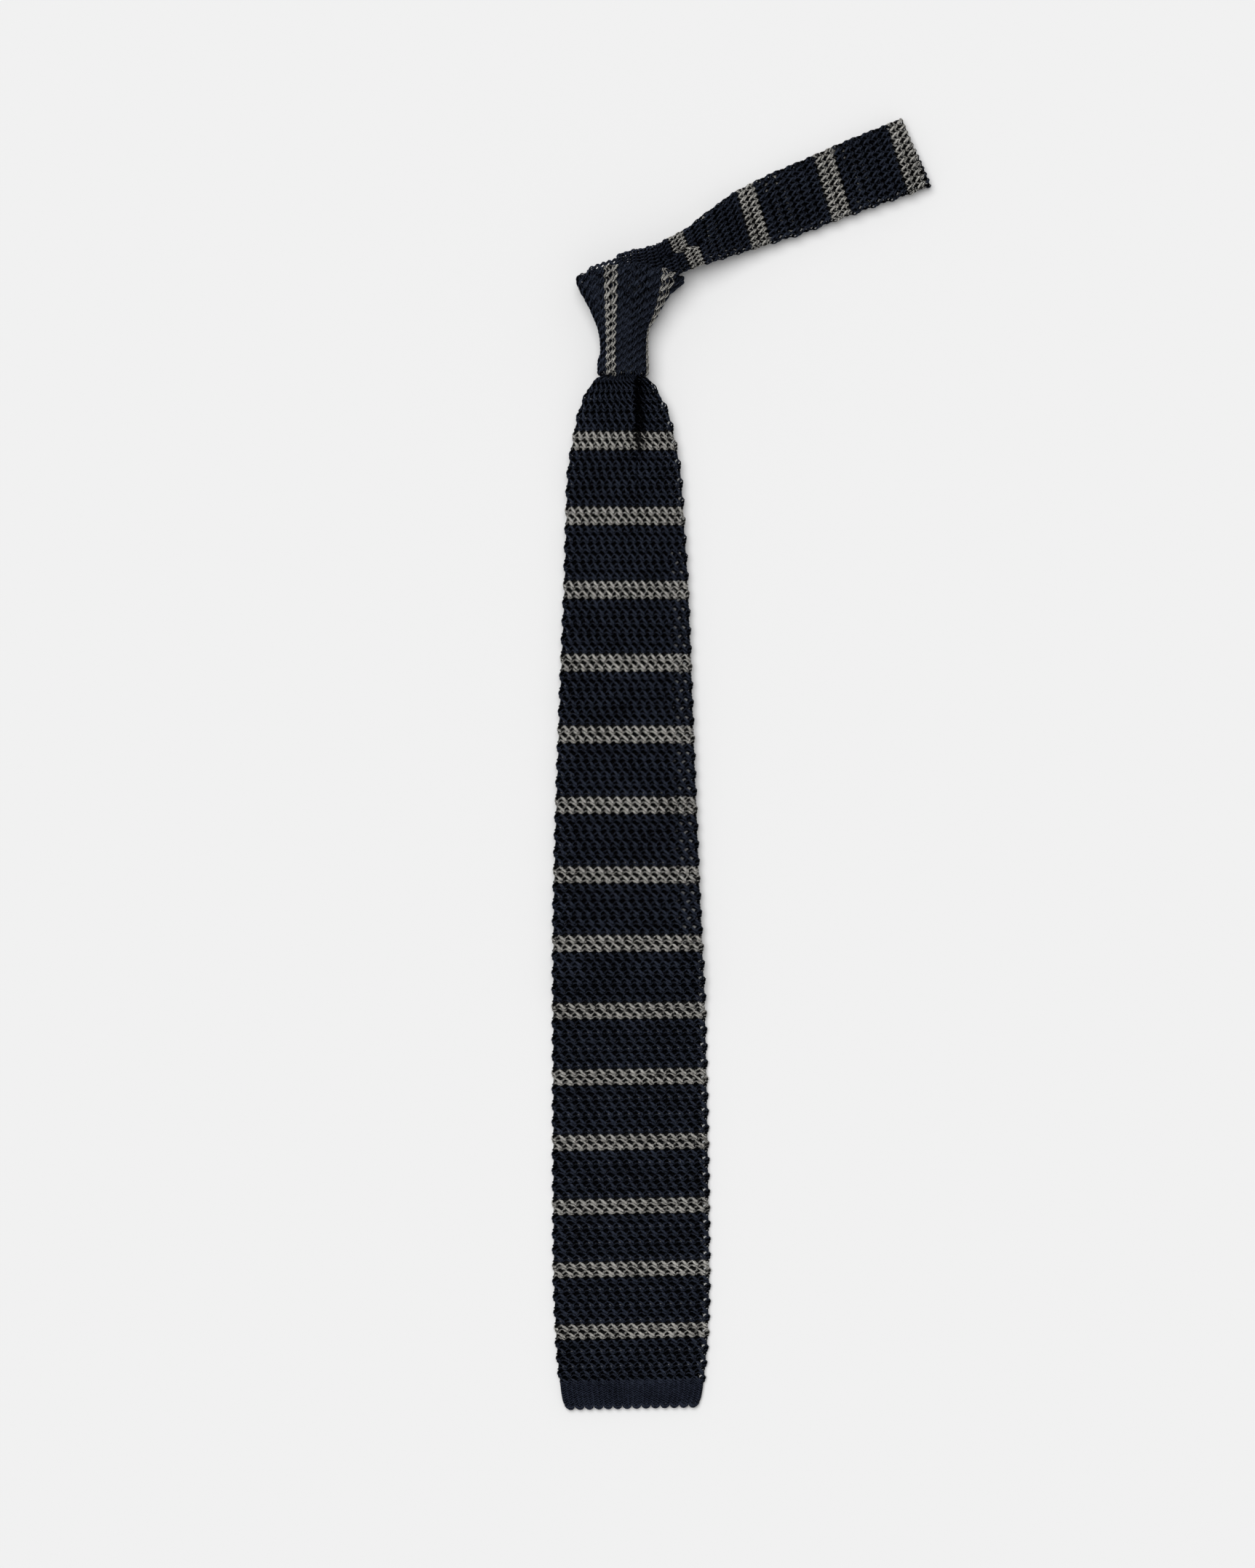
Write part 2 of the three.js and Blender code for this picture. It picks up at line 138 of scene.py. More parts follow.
# Sections of the forms, at shares of the length of each: the blades from the knot to their ends, the
# knot from its foot up, the neck band from its fold to the knot, and a band or blade inside the knot
# from where it goes in. Widths and shifts are shares of the form's full width.
BLADE = table(
    "along width shift lean middle edge dimple",
    [
        (0.0000, 0.220, -0.053, 0.00, 1.00, 1.00, 0.0),
        (0.0012, 0.222, -0.053, 0.00, 1.00, 1.00, 0.0),
        (0.0040, 0.335, -0.056, 0.00, 1.04, 0.70, 0.1),
        (0.0134, 0.437, -0.057, 0.00, 1.05, 0.40, 0.6),
        (0.0366, 0.584, -0.050, 0.00, 0.90, 0.20, 1.0),
        (0.0619, 0.658, -0.047, 0.00, 0.65, 0.10, 0.7),
        (0.0971, 0.731, -0.045, 0.00, 0.36, 0.04, 0.3),
        (0.1436, 0.762, -0.040, 0.00, 0.12, 0.00, 0.0),
        (0.2210, 0.804, -0.034, 0.00, 0.00, 0.00, 0.0),
        (0.3430, 0.865, -0.035, 0.00, 0.00, 0.00, 0.0),
        (0.4790, 0.927, -0.032, 0.00, 0.00, 0.00, 0.0),
        (0.6220, 0.979, -0.014, 0.01, 0.00, 0.00, 0.0),
        (0.8660, 1.000, 0.000, 0.02, 0.00, 0.00, 0.0),
        (0.9270, 0.977, 0.003, 0.02, 0.00, 0.00, 0.0),
        (1.0000, 0.912, 0.002, 0.02, 0.00, 0.00, 0.0),
    ],
)
TONGUE = table(
    "along width shift lean",
    [
        (0.00, 0.26, 0.000, 0.00),
        (0.30, 0.22, 0.010, 0.00),
        (0.60, 0.27, -0.040, 0.10),
        (0.88, 0.31, -0.165, 0.31),
    ],
)
SLEEVE = table(
    "along width shift depth",
    [
        (0.000, 0.460, 0.000, 0.79),
        (0.094, 0.457, 0.000, 0.80),
        (0.194, 0.428, 0.010, 0.79),
        (0.307, 0.431, 0.008, 0.80),
        (0.421, 0.463, 0.005, 0.83),
        (0.541, 0.570, 0.017, 0.87),
        (0.635, 0.650, 0.021, 0.90),
        (0.708, 0.724, 0.023, 0.93),
        (0.795, 0.814, 0.026, 0.96),
        (0.855, 0.914, 0.050, 0.98),
        (0.902, 0.968, 0.063, 1.00),
    ],
)
SLEEVE_SQUARENESS = 3.2
SLEEVE_BACK_DROP = 0.05
SLEEVE_FRONT_ARCH = 0.098
NECK = table(
    "along width shift lift",
    [
        (0.00, 0.985, 0.020, 0.00),
        (0.23, 0.958, 0.050, 0.00),
        (0.43, 0.920, 0.064, 0.00),
        (0.54, 0.910, 0.074, 0.00),
        (0.63, 0.861, 0.082, 0.10),
        (0.71, 0.820, 0.083, 0.22),
        (0.80, 0.717, 0.066, 0.45),
        (0.86, 0.658, 0.052, 0.62),
        (0.93, 0.566, 0.028, 0.85),
        (1.00, 0.515, 0.020, 1.00),
    ],
)
TUCK = table(
    "along width shift",
    [(0.00, 0.515, 0.020), (0.35, 0.480, 0.020), (0.65, 0.430, 0.070), (1.00, 0.350, 0.165)],
)
NECK_UNDER_INSET = 0.1
NECK_ROOT = (KNOT_SHIFT + 0.54 * KNOT_TOP_WIDTH, BLADE_LENGTH + 1.113 * KNOT_HEIGHT)
TAIL = table(
    "along width lift",
    [
        (0.00, 0.24, 1.0),
        (0.02, 0.30, 0.4),
        (0.04, 0.45, 0.2),
        (0.08, 0.66, 0.1),
        (0.16, 0.88, 0.0),
        (0.30, 0.96, 0.0),
        (1.00, 1.00, 0.0),
    ],
)
TAIL_IN_KNOT_REACH = 0.62
END_BAND_TAPER = table("along width", [(0, 0.912), (0.6, 0.885), (1, 0.835)])
TAIL_BAND_TAPER = table("along width", [(0, 1.0), (0.6, 0.985), (1, 0.94)])

# Stitches are drawn from the top of one arch to the next: wales across, courses up, and height in
# shares of STITCH_LIFT. A course of the open knit is two yarns. One arches over each hole and dips
# to a point between the holes. The other falls in front to the right, turns under and climbs back.
ARCH = table(
    "wale course height",
    [
        (0.02, 0.35, -0.2),
        (0.20, 0.31, 0.3),
        (0.38, 0.17, 0.6),
        (0.56, 0.05, 0.4),
        (0.72, 0.12, -0.3),
        (0.86, 0.28, -0.5),
    ],
)
LOOP = table(
    "wale course height",
    [
        (0.05, 0.90, 0.6),
        (0.16, 0.80, 1.0),
        (0.34, 0.59, 1.1),
        (0.52, 0.43, 0.9),
        (0.66, 0.33, 0.2),
        (0.60, 0.24, -0.5),
        (0.47, 0.30, -0.6),
        (0.60, 0.52, -0.5),
        (0.85, 0.76, -0.1),
    ],
)
PLAIN_LOOP = table(
    "wale course height",
    [
        (0.05, 0.82, 0.9),
        (0.30, 0.70, 1.1),
        (0.56, 0.34, 0.4),
        (0.80, 0.56, -0.5),
    ],
)
BLADE_TOP_COURSE = 114
FACE_STITCHES = ((ARCH, 6), (LOOP, 9))
BACK_STITCHES = ((ARCH, 4), (PLAIN_LOOP, 4))
ROW_STEP = 0.29

# A yarn is fine ends side by side, this far apart in millimetres
END_SPACING = 0.38
YARN_OFFSET = 37.3

# One stitch of the tight knit of the cuffs: a chevron
CHEVRON = table(
    "wale course height",
    [(0.00, 0.50, 0.0), (0.25, 0.00, 0.6), (0.50, -0.50, 0.0), (0.75, 0.00, -0.6)],
)
CUFF_STEPS = 5


def read(shape, column, along):
    """Smooth values of one column of a table at places along it, without overshoot."""
    place, value = shape["along"], shape[column]
    slope = np.diff(value) / np.diff(place)
    product = slope[:-1] * slope[1:]
    total = np.where(product > 0, slope[:-1] + slope[1:], 1)
    tangent = np.concatenate([[0], np.where(product > 0, 2 * product / total, 0), [0]])
    along = np.clip(along, place[0], place[-1])
    k = np.clip(np.searchsorted(place, along) - 1, 0, len(place) - 2)
    span = place[k + 1] - place[k]
    t = (along - place[k]) / span
    return (
        (2 * t**3 - 3 * t**2 + 1) * value[k]
        + (t**3 - 2 * t**2 + t) * span * tangent[k]
        + (3 * t**2 - 2 * t**3) * value[k + 1]
        + (t**3 - t**2) * span * tangent[k + 1]
    )


def mix(a, b, share):
    return a + (b - a) * share


def smoothstep(value, start, end):
    t = np.clip((value - start) / (end - start), 0, 1)
    return t * t * (3 - 2 * t)


def even_ring(points, count):
    """Closed outline with evenly spaced points, the first one kept and repeated at the end."""
    closed = np.vstack([points, points[:1]])
    steps = np.linalg.norm(np.diff(closed, axis=0), axis=1)
    reach = np.concatenate([[0], np.cumsum(steps)])
    places = np.linspace(0, reach[-1], count + 1)
    return np.stack([np.interp(places, reach, closed[:, i]) for i in range(closed.shape[1])], axis=1)


# Points of a ring of a form, and those that a fold and a face of a tube are first drawn with
RING_POINTS = 256
FOLD_POINTS = 9
FACE_POINTS = 60


def tube_ring(at, across, up, width, thickness, height_at=None, shear=None, slide=None):
    """Middle of the knitted layer round a flattened tube, from its left fold over the top face."""
    fold = thickness / 2
    flat = max(width / 2 - fold, 0.1)
    radius = fold - LAYER_INSET
    arc = np.linspace(0, np.pi / 2, FOLD_POINTS)
    line = np.linspace(-flat, flat, FACE_POINTS)
    side = np.concatenate(
        [
            -flat - radius * np.cos(arc),
            line,
            flat + radius * np.sin(arc),
            flat + radius * np.cos(arc),
            line[::-1],
            -flat - radius * np.sin(arc),
        ]
    )
    rise = np.concatenate(
        [
            radius * np.sin(arc),
            np.full(FACE_POINTS, radius),
            radius * np.cos(arc),
            -radius * np.sin(arc),
            np.full(FACE_POINTS, -radius),
            -radius * np.cos(arc),
        ]
    )
    if height_at is not None:
        rise = rise + height_at(np.clip(side, -flat, flat))
    moved = side if slide is None else side + slide(side)
    points = np.array(at) + np.outer(moved, across) + np.outer(rise, up)
    if shear is not None:
        points[:, 1] += shear(side)
    return even_ring(points[:-1], RING_POINTS)


class Form:
    """A surface as a grid of rings along a path, which flat cloth can be laid on."""

    def __init__(self, places, rings):
        self.places = np.array(places, float)
        self.rings = np.array(rings)
        along = np.gradient(self.rings, axis=0)
        padded = np.concatenate([self.rings[:, -2:-1], self.rings, self.rings[:, 1:2]], axis=1)
        round_it = (padded[:, 2:] - padded[:, :-2]) / 2
        normal = np.cross(round_it, along)
        outward = np.sum(normal * (self.rings - self.rings.mean(axis=1, keepdims=True)))
        self.normals = np.sign(outward) * normal / (np.linalg.norm(normal, axis=2, keepdims=True) + 1e-12)

    def lay(self, place, share, height):
        """Points at a place along the path, a share of the way round and a height off the layer."""
        k = np.interp(place, self.places, np.arange(len(self.places)))
        k0 = np.clip(k.astype(int), 0, len(self.places) - 2)
        ring = (share % 1) * (self.rings.shape[1] - 1)
        r0 = np.clip(ring.astype(int), 0, self.rings.shape[1] - 2)
        kt = (k - k0)[:, None]
        rt = (ring - r0)[:, None]

        def sample(grid):
            lower = mix(grid[k0, r0], grid[k0, r0 + 1], rt)
            upper = mix(grid[k0 + 1, r0], grid[k0 + 1, r0 + 1], rt)
            return mix(lower, upper, kt)

        normal = sample(self.normals)
        normal /= np.linalg.norm(normal, axis=1, keepdims=True) + 1e-12
        return sample(self.rings) + normal * height[:, None]


SIDEWAYS = np.array([1.0, 0.0, 0.0])
UPRIGHT = np.array([0.0, 0.0, 1.0])


def sleeve_section(along):
    """Centre, half width and half depth of the knot at a share of its height."""
    centre = KNOT_SHIFT + read(SLEEVE, "shift", along) * KNOT_TOP_WIDTH
    half_width = read(SLEEVE, "width", along) * KNOT_TOP_WIDTH / 2
    half_depth = read(SLEEVE, "depth", along) * KNOT_DEPTH / 2
    return centre, half_width, half_depth


def under_sleeve_front(along, x, thickness):
    """Highest place of a tube's middle under the front wall of the knot."""
    centre, half_width, half_depth = sleeve_section(along)
    share = np.minimum(np.abs(x - centre) / (half_width - WRAP_WALL), 0.97)
    room = (1 - share**SLEEVE_SQUARENESS) ** (1 / SLEEVE_SQUARENESS)
    return half_depth + (half_depth - WRAP_WALL) * room - 2 * CLEARANCE - thickness / 2


# The dimple under the knot: its depth as a share of the knot's, and where across the blade, in
# millimetres from its middle, its left side falls and its right side rises
DIMPLE_SHARE = 0.24
DIMPLE_FALL = (4.4, 5.4)
DIMPLE_RISE = (6.4, 14.0)


def blade_ring(y):
    """Ring of the front blade at a height above its hem."""
    along = (BLADE_LENGTH - y) / BLADE_LENGTH
    width = read(BLADE, "width", along) * BLADE_WIDTH
    over = smoothstep(y, RAMP_FOOT, RAMP_TOP)
    level = mix(LYING, OVER_TAIL, over)
    tongue = under_sleeve_front(0.0, KNOT_SHIFT, GATHERED_TUBE)
    middle = mix(level, tongue, read(BLADE, "middle", along))
    edge = mix(level - EDGE_DROOP * over, tongue, read(BLADE, "edge", along))
    thickness = mix(GATHERED_TUBE, TUBE, smoothstep(along, 0.002, 0.03))
    dimple = read(BLADE, "dimple", along) * DIMPLE_SHARE * KNOT_DEPTH
    roundness = mix(5, 2.2, 1 - smoothstep(along, 0.1, 0.2))
    lean = read(BLADE, "lean", along)

    def height_at(side):
        crown = (middle - edge) * (1 - np.abs(2 * side / width) ** roundness)
        fold = dimple * (smoothstep(side, *DIMPLE_FALL) - smoothstep(side, *DIMPLE_RISE))
        return edge - middle + crown - fold

    def slide(side):
        """The floor of the dimple slides under its left side, so that side overhangs a little."""
        return -0.5 * dimple * (smoothstep(side, 4.6, 5.4) - smoothstep(side, 6.0, 10.0))

    at = (read(BLADE, "shift", along) * BLADE_WIDTH, y, middle)
    return tube_ring(at, SIDEWAYS, UPRIGHT, width, thickness, height_at, lambda side: lean * side, slide)


def blade_form():
    """The front blade from above its hem up into the mouth of the knot."""
    gathered_from = 372
    places = np.concatenate(
        [np.arange(7, gathered_from, 1.5), np.arange(gathered_from, BLADE_LENGTH, 0.4)]
    )
    rings = [blade_ring(y) for y in places]
    inside = np.arange(0, 14, 1.0)
    rings += [tongue_ring(reach / KNOT_HEIGHT) for reach in inside]
    return Form(np.concatenate([places, BLADE_LENGTH + inside]), rings)


def turned_ring(turn):
    """Ring of the blade where it turns over the top of the knot, a half circle from front to back."""
    top = {column: TONGUE[column][-1] for column in TONGUE}
    x = KNOT_SHIFT + top["shift"] * KNOT_TOP_WIDTH
    front_level = under_sleeve_front(top["along"], x, GATHERED_TUBE)
    radius = (front_level - LYING) / 2
    up = np.array([0, math.sin(turn), math.cos(turn)])
    centre = np.array([x, BLADE_LENGTH + top["along"] * KNOT_HEIGHT, LYING + radius])
    front = max(math.cos(turn), 0)

    def height_at(side):
        bend = under_sleeve_front(top["along"], x + side, GATHERED_TUBE) - front_level
        return front * np.minimum(bend, 0)

    thickness = mix(GATHERED_TUBE, TUBE, turn / math.pi)
    width = top["width"] * KNOT_TOP_WIDTH
    lean = top["lean"]
    at = centre + up * radius
    return tube_ring(at, SIDEWAYS, up, width, thickness, height_at, lambda side: lean * side)


def tongue_ring(along):
    """Ring of the blade inside the knot at a share of the knot's height."""
    centre = KNOT_SHIFT + read(TONGUE, "shift", along) * KNOT_TOP_WIDTH
    level = under_sleeve_front(along, centre, GATHERED_TUBE)
    lean = read(TONGUE, "lean", along)

    def height_at(side):
        return np.minimum(under_sleeve_front(along, centre + side, GATHERED_TUBE) - level, 0)

    at = (centre, BLADE_LENGTH + along * KNOT_HEIGHT, level)
    width = read(TONGUE, "width", along) * KNOT_TOP_WIDTH
    return tube_ring(at, SIDEWAYS, UPRIGHT, width, GATHERED_TUBE, height_at, lambda side: lean * side)


def turned_form():
    """The blade's way through the knot and over its top, in millimetres from the knot's mouth."""
    top = TONGUE["along"][-1]
    front_level = under_sleeve_front(top, KNOT_SHIFT + TONGUE["shift"][-1] * KNOT_TOP_WIDTH, GATHERED_TUBE)
    half_circle = math.pi * (front_level - LYING) / 2
    alongs = np.linspace(0, top, 30)[:-1]
    turns = np.linspace(0, math.pi, 24)
    places = np.concatenate([alongs * KNOT_HEIGHT, top * KNOT_HEIGHT + turns / math.pi * half_circle])
    return Form(places, [tongue_ring(a) for a in alongs] + [turned_ring(t) for t in turns])


def wrap_form(layer_inset):
    """One layer of the knot's wrap: places go up it and on over its upper and lower edges."""
    edge_radius = WRAP_WALL / 2
    top = SLEEVE["along"][-1]
    turns = np.linspace(0, math.pi * 0.95, 9)
    stations = [(0.0, -turn) for turn in turns[:0:-1]]
    stations += [(along, 0.0) for along in np.linspace(0, top, 44)]
    stations += [(top, turn) for turn in turns[1:]]
    places = []
    rings = []
    for along, turn in stations:
        centre, half_width, half_depth = sleeve_section(along)
        round_it = np.pi - np.linspace(0, 2 * np.pi, 4 * RING_POINTS, endpoint=False)
        c, s = np.cos(round_it), np.sin(round_it)
        power = 2 / SLEEVE_SQUARENESS
        inset = layer_inset + edge_radius * (1 - math.cos(turn))
        side = np.sign(c) * np.abs(c) ** power
        x = centre + (half_width - inset) * side
        z = half_depth + (half_depth - inset) * np.sign(s) * np.abs(s) ** power
        # Near its top the wrap rises to an arch in front and drops a little behind
        near_top = smoothstep(along, top - 0.35, top)
        front = smoothstep(z, 0.05 * KNOT_DEPTH, 0.55 * KNOT_DEPTH)
        arch = SLEEVE_FRONT_ARCH * front * (1 - side**2) - SLEEVE_BACK_DROP * (1 - front)
        y = BLADE_LENGTH + (along + arch * near_top) * KNOT_HEIGHT + edge_radius * math.sin(turn)
        y += edge_radius * (0.5 - along / top) * 2
        rings.append(even_ring(np.stack([x, y, z], axis=1), RING_POINTS))
        places.append(along * KNOT_HEIGHT + edge_radius * turn)
    return Form(places, rings)


NECK_FOLD_RADIUS = (TUBE + FOLD_GAP) / 2
NECK_RUN = NECK_LENGTH - NECK_FOLD_RADIUS - TUBE / 2
NECK_OUT = np.array([math.cos(NECK_ANGLE), math.sin(NECK_ANGLE), 0.0])
NECK_ACROSS = np.array([-math.sin(NECK_ANGLE), math.cos(NECK_ANGLE), 0.0])
TURNED_SIDE = KNOT_SHIFT + (TONGUE["shift"][-1] + TONGUE["width"][-1] / 2) * KNOT_TOP_WIDTH
TUCK_DRIFT = TUCK["shift"][-1] * NECK_WIDTH * math.sin(NECK_ANGLE)
NECK_TUCK = (NECK_ROOT[0] - TUCK_DRIFT - TURNED_SIDE - 3 * CLEARANCE) / math.cos(NECK_ANGLE)

# The cloth reaches a little further into the knot than the solid does
NECK_REACH = NECK_TUCK + 3.4


def neck_ring(run, under):
    """Ring of the neck band at a distance from the knot, in its upper or its under layer."""
    in_knot = run < 0
    shape = TUCK if in_knot else NECK
    along = min(-run / NECK_TUCK, 1) if in_knot else 1 - run / NECK_RUN
    width = read(shape, "width", along) * NECK_WIDTH
    shift = read(shape, "shift", along) * NECK_WIDTH
    lift = 1.0 if in_knot else read(NECK, "lift", along)
    thickness = mix(TUBE, NECK_GATHERED, lift)
    height = (WRAP_WALL + 2 * CLEARANCE) * lift + thickness / 2 + (0 if under else thickness + FOLD_GAP)
    folded = 1.0 if in_knot else smoothstep(along, 0, 0.15)
    inset = NECK_UNDER_INSET * NECK_WIDTH * folded if under else 0.0
    heading = NECK_ANGLE * (1 - along) if in_knot else NECK_ANGLE
    across = np.array([-math.sin(heading), math.cos(heading), 0])
    at = np.array([*NECK_ROOT, height]) + NECK_OUT * run + NECK_ACROSS * shift + across * inset / 2
    up = -UPRIGHT if under else UPRIGHT
    return tube_ring(at, across, up, width - inset, thickness)


def neck_fold_ring(turn):
    """Ring of the neck band where it folds back under itself, a half circle from top to underside."""
    beside_knot = np.array([*NECK_ROOT, LYING + NECK_FOLD_RADIUS])
    start_shift = NECK["shift"][0] * NECK_WIDTH
    centre = beside_knot + NECK_OUT * NECK_RUN + NECK_ACROSS * start_shift
    up = UPRIGHT * math.cos(turn) + NECK_OUT * math.sin(turn)
    width = NECK["width"][0] * NECK_WIDTH
    return tube_ring(centre + up * NECK_FOLD_RADIUS, NECK_ACROSS, up, width, TUBE)


def neck_form():
    """The neck band from inside the knot out to its fold and back under itself."""
    turns = np.linspace(0, math.pi, 20)
    half_circle = math.pi * NECK_FOLD_RADIUS
    out = np.concatenate([np.linspace(-NECK_REACH, -0.01, 18), np.linspace(0, NECK_RUN, 60)[:-1]])
    back = out[::-1]
    places = np.concatenate(
        [out, NECK_RUN + turns / math.pi * half_circle, NECK_RUN + half_circle + (NECK_RUN - back)]
    )
    rings = [neck_ring(run, False) for run in out]
    rings += [neck_fold_ring(turn) for turn in turns]
    rings += [neck_ring(run, True) for run in back]
    return Form(places, rings)


def tail_ring(y):
    """Ring of the narrow blade at a height above the hem of the front blade."""
    along = max((BLADE_LENGTH - CLEARANCE - y) / TAIL_LENGTH, 0)
    width = read(TAIL, "width", along) * TAIL_WIDTH
    lift = read(TAIL, "lift", along)
    centre = mix(KNOT_SHIFT, TAIL_CENTRE, smoothstep(along, 0, 0.16))
    return tube_ring((centre, y, mix(LYING, TAIL_IN_KNOT, lift)), SIDEWAYS, UPRIGHT, width, TUBE)


def tail_form():
    """The narrow blade from above its cuff up into the knot."""
    top = BLADE_LENGTH + TAIL_IN_KNOT_REACH * KNOT_HEIGHT
    places = np.concatenate([np.arange(TAIL_END + TAIL_BAND_HEIGHT - 2, 340, 4), np.arange(340, top, 1)])
    return Form(places, [tail_ring(y) for y in places])


def cuff_form(centre, hem, height, width, taper, lean):
    """A cuff, with places in millimetres above its hem."""
    places = np.linspace(hem - 2, hem + height + 1, 24)
    rings = []
    for y in places:
        along = (hem + height - y) / height
        ring_width = read(taper, "width", along) * width
        at = (centre, y, LYING)
        rings.append(tube_ring(at, SIDEWAYS, UPRIGHT, ring_width, TUBE, shear=lambda side: lean * side))
    return Form(places - hem, rings)


def front_cuff_form():
    centre = BLADE["shift"][-1] * BLADE_WIDTH
    return cuff_form(centre, 0, END_BAND_HEIGHT, BLADE_WIDTH, END_BAND_TAPER, FRONT_CUFF_LEAN)


def tail_cuff_form():
    return cuff_form(TAIL_CENTRE, TAIL_END, TAIL_BAND_HEIGHT, TAIL_WIDTH, TAIL_BAND_TAPER, 0.0)


def yarn_section(name, outline):
    """Cross-section of a yarn, shaped from a circle: across the yarn and up, in millimetres."""
    bpy.ops.mesh.primitive_circle_add(vertices=len(outline))
    section = bpy.context.object
    section.name = name
    for vertex, (across, up) in zip(section.data.vertices, outline):
        vertex.co = (across, up, 0)
    bpy.ops.object.convert(target="CURVE")
    section.select_set(False)
    return section


def stitch_path(stitch, wale, course, lift, steps):
    """Evenly spaced points of one stitch, drawn smoothly through its table, in millimetres."""
    knots = np.stack([stitch["wale"] * wale, stitch["course"] * course, stitch["height"] * lift], axis=1)
    period = np.array([wale, 0, 0])
    before = np.vstack([knots[-1:] - period, knots])
    after = np.vstack([knots, knots[:2] + period])
    t = np.linspace(0, 1, 24, endpoint=False)[:, None]
    dense = []
    for k in range(len(knots)):
        p0, p1, p2, p3 = before[k], after[k], after[k + 1], after[k + 2]
        bend = (p2 - p0) * t + (2 * p0 - 5 * p1 + 4 * p2 - p3) * t**2
        dense.append(p1 + 0.5 * (bend + (3 * p1 - p0 - 3 * p2 + p3) * t**3))
    dense = np.vstack([*dense, knots[:1] + period])
    reach = np.concatenate([[0], np.cumsum(np.linalg.norm(np.diff(dense, axis=0), axis=1))])
    places = np.linspace(0, reach[-1], steps, endpoint=False)
    return np.stack([np.interp(places, reach, dense[:, i]) for i in range(3)], axis=1)


def yarn_course(stitch, wale, first, last, shift=0.0):
    """One yarn of a course: its stitch repeated from the first wale to the last."""
    start = math.floor(first) - 1
    count = math.ceil(last) - start + 1
    path = np.vstack([stitch + [(start + k + shift) * wale, 0, 0] for k in range(count)])
    inside = (path[:, 0] >= first * wale) & (path[:, 0] <= last * wale)
    return path[inside]


# Painted shade: how much the height of a yarn in the cloth counts beside the height of a point on
# the yarn, and how much more a point under the yarn's middle counts, so low and inner sides paint darker
PATH_SHADE = 0.5
UNDER_SHADE = 3.0


def mark_yarns(mesh, paths):
    """Writes each point's way along and across its yarn, and its height in mm, which the finishes paint as
    shade.
    """
    reaches = []
    middles = []
    sides = []
    for number, path in enumerate(paths):
        along = np.gradient(path, axis=0)
        side = np.stack([-along[:, 1], along[:, 0]], axis=1)
        sides.append(side / (np.linalg.norm(side, axis=1, keepdims=True) + 1e-9))
        steps = np.linalg.norm(np.diff(path, axis=0), axis=1)
        reaches.append(np.concatenate([[0], np.cumsum(steps)]) + number * YARN_OFFSET)
        middles.append(path)
    reach, middle, side = (np.concatenate(values) for values in (reaches, middles, sides))
    points = np.empty(3 * len(mesh.vertices))
    mesh.vertices.foreach_get("co", points)
    points = points.reshape(-1, 3)
    corners = len(points) // len(reach)
    place = np.zeros((len(points), 3))
    middle = np.repeat(middle, corners, axis=0)
    off = points - middle
    place[:, 0] = np.repeat(reach, corners)
    place[:, 1] = (off[:, :2] * np.repeat(side, corners, axis=0)).sum(axis=1)
    # Painted shade: the height counts deeper under the yarn's middle, so inner sides are painted dark
    place[:, 2] = off[:, 2] * np.where(off[:, 2] < 0, UNDER_SHADE, 1) + PATH_SHADE * middle[:, 2]
    attribute = mesh.attributes.new("yarn_place", "FLOAT_VECTOR", "POINT")
    attribute.data.foreach_set("vector", place.ravel())


def knit(name, section, finishes, yarns):
    """Flat cloth as one mesh. yarns holds a path and the number of its finish for every yarn."""
    data = bpy.data.curves.new(name, "CURVE")
    data.dimensions = "3D"
    data.twist_mode = "Z_UP"
    data.bevel_mode = "OBJECT"
    data.bevel_object = section
    for finish in finishes:
        data.materials.append(finish)
    for path, finish in yarns:
        spline = data.splines.new("POLY")
        spline.points.add(len(path) - 1)
        spline.points.foreach_set("co", np.c_[path, np.ones(len(path))].ravel())
        spline.material_index = finish
    cloth = bpy.data.objects.new(name, data)
    bpy.context.collection.objects.link(cloth)
    bpy.context.view_layer.objects.active = cloth
    cloth.select_set(True)
    bpy.ops.object.convert(target="MESH")
    cloth = bpy.context.object
    mark_yarns(cloth.data, [path for path, _ in yarns])
    bpy.ops.object.mode_set(mode="EDIT")
    bpy.ops.mesh.select_all(action="SELECT")
    bpy.ops.mesh.fill_holes(sides=0)
    bpy.ops.mesh.normals_make_consistent(inside=False)
    bpy.ops.object.mode_set(mode="OBJECT")
    cloth.select_set(False)
    return cloth


# Painted shade in the dimple's fold: how much deeper the yarns there count for the finishes, in
# millimetres
FOLD_SHADE = 0.42


def dimple_shade(points):
    """Painted shade: extra depth of the yarns in the fold of the dimple, which little light reaches."""
    along = (BLADE_LENGTH - points[:, 1]) / BLADE_LENGTH
    side = points[:, 0] - read(BLADE, "shift", along) * BLADE_WIDTH
    across = smoothstep(side, 4.0, 4.8) * (1 - smoothstep(side, 5.6, 9.5))
    return FOLD_SHADE * across * (1 - smoothstep(along, 0.045, 0.095))


def lay_cloth(cloth, place_points, shade=None):
    """Moves each point of the flat cloth to its place on the tie, and paints extra shade when shade is
    given.
    """
    mesh = cloth.data
    flat = np.empty(3 * len(mesh.vertices))
    mesh.vertices.foreach_get("co", flat)
    flat = flat.reshape(-1, 3)
    placed = place_points(flat[:, 0], flat[:, 1], flat[:, 2])
    if shade is not None:
        # Painted shade: the yarns count deeper here, so the finishes paint them darker
        attribute = mesh.attributes["yarn_place"]
        place = np.empty(3 * len(mesh.vertices))
        attribute.data.foreach_get("vector", place)
        place[2::3] -= shade(placed)
        attribute.data.foreach_set("vector", place)
    placed[:, 0] += ORIGIN[0]
    placed[:, 1] += ORIGIN[1]
    placed[:, 2] = np.maximum(placed[:, 2], 0.02)
    mesh.vertices.foreach_set("co", (placed * MM).ravel())
    mesh.update()


def side_step(course):
    """Sideways step of the courses, left and right in turn."""
    return -SIDE_STEP * np.cos(np.pi * (course - 0.43))


def is_stripe(course):
    return course % STRIPE_REPEAT in (0, STRIPE_REPEAT - 1)


NO_STRIPES = -100


